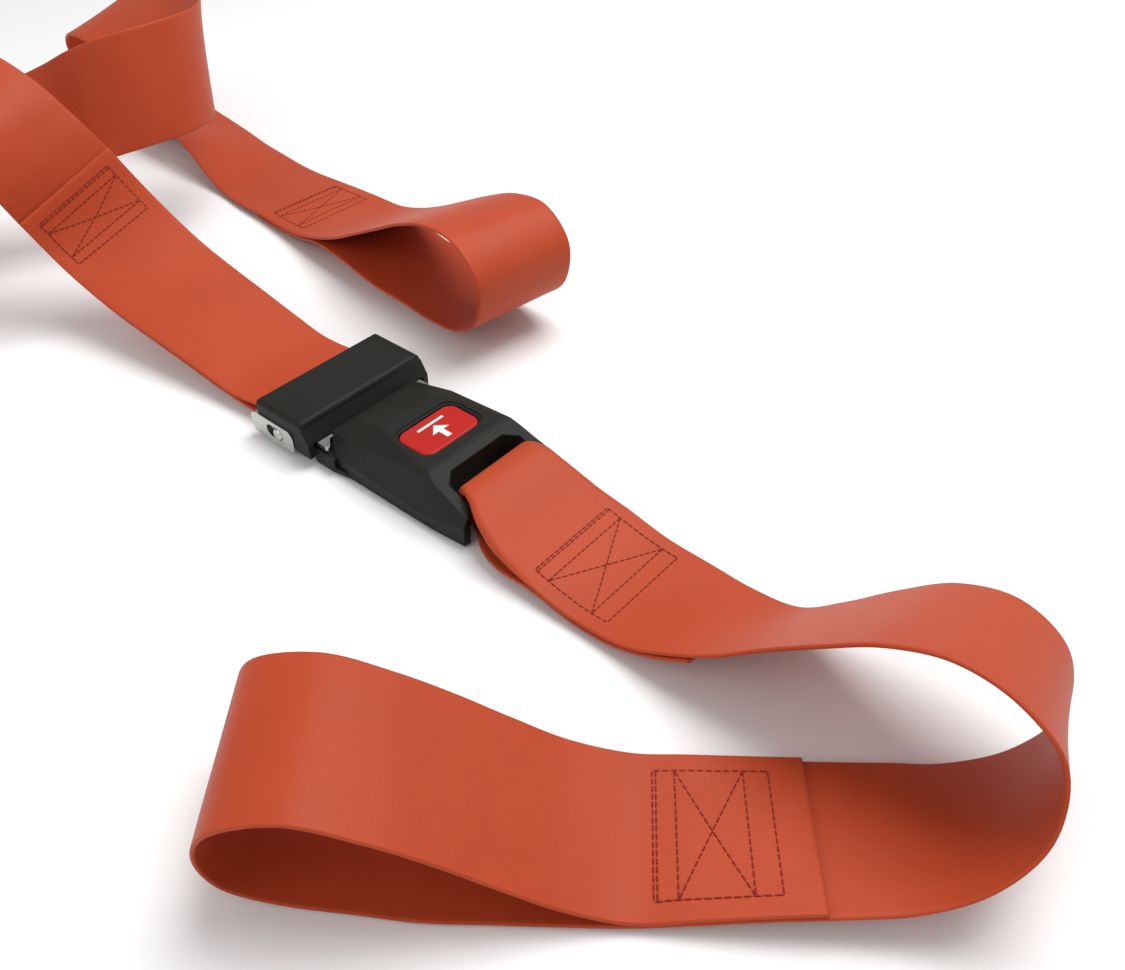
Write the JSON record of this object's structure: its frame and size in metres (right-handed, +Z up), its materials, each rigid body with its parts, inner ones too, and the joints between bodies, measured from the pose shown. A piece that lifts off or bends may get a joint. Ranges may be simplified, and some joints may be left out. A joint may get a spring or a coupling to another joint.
{
  "type": "spine board restraint strap",
  "caption": "Two-piece webbing restraint strap with a push-button tongue buckle, a slide adjuster and a sewn loop at each end.",
  "frame": {"origin": "centre of the underside of the buckle housing, which lies flat on the table", "axes": "+X from the tongue to the housing's own strap, +Y across the webbing, +Z up through the button"},
  "size_m": [0.6476, 0.3154, 0.1097],
  "materials": {
    "webbing": "woven polyester or vinyl-faced nylon, light sheen",
    "thread": "bonded thread",
    "black_plastic": "fine moulded grain",
    "red_plastic": "semi-gloss",
    "print": "raised print",
    "plate_steel": "bright zinc plate, sheared edges",
    "spring_steel": "oiled",
    "fastener_steel": "zinc plate"
  },
  "bodies": {
    "buckle": {"housing_top": "black_plastic", "housing_bottom": "black_plastic", "housing_screw_1": "fastener_steel", "housing_screw_2": "fastener_steel", "housing_screw_3": "fastener_steel", "housing_screw_4": "fastener_steel", "base_frame": "plate_steel", "latch_spring": "spring_steel", "leaf_rivet_1": "fastener_steel", "leaf_rivet_2": "fastener_steel", "button_spring_1": "spring_steel", "button_spring_2": "spring_steel", "buckle_strap": "webbing", "stitch_fold": "thread", "stitch_eye_a": "thread"},
    "push_button": {"button": "red_plastic", "button_pictogram": "print"},
    "tongue": {"tongue_plate": "plate_steel", "tongue_rivet_1": "fastener_steel", "tongue_rivet_2": "fastener_steel", "adjuster_frame": "plate_steel", "adjuster_cover": "black_plastic", "tongue_strap": "webbing", "stitch_tail": "thread", "stitch_eye_b": "thread"},
    "locking_bar": {"lock_bar": "fastener_steel"}
  },
  "joints": [
    {"name": "button_press", "type": "slide", "parent": "buckle", "child": "push_button", "axis": [0, 0, -1], "range_m": [0, 0.0025], "stiffness_N_per_m": 1500, "springref_m": -0.001, "deforming": ["button_spring_1", "button_spring_2", "latch_spring"]},
    {"name": "tongue_slide", "type": "slide", "parent": "buckle", "child": "tongue", "axis": [-1, 0, 0], "range_m": [0, 0.05]},
    {"name": "lock_bar_slide", "type": "slide", "parent": "tongue", "child": "locking_bar", "axis": [-1, 0, 0], "range_m": [0, 0.004]}
  ]
}
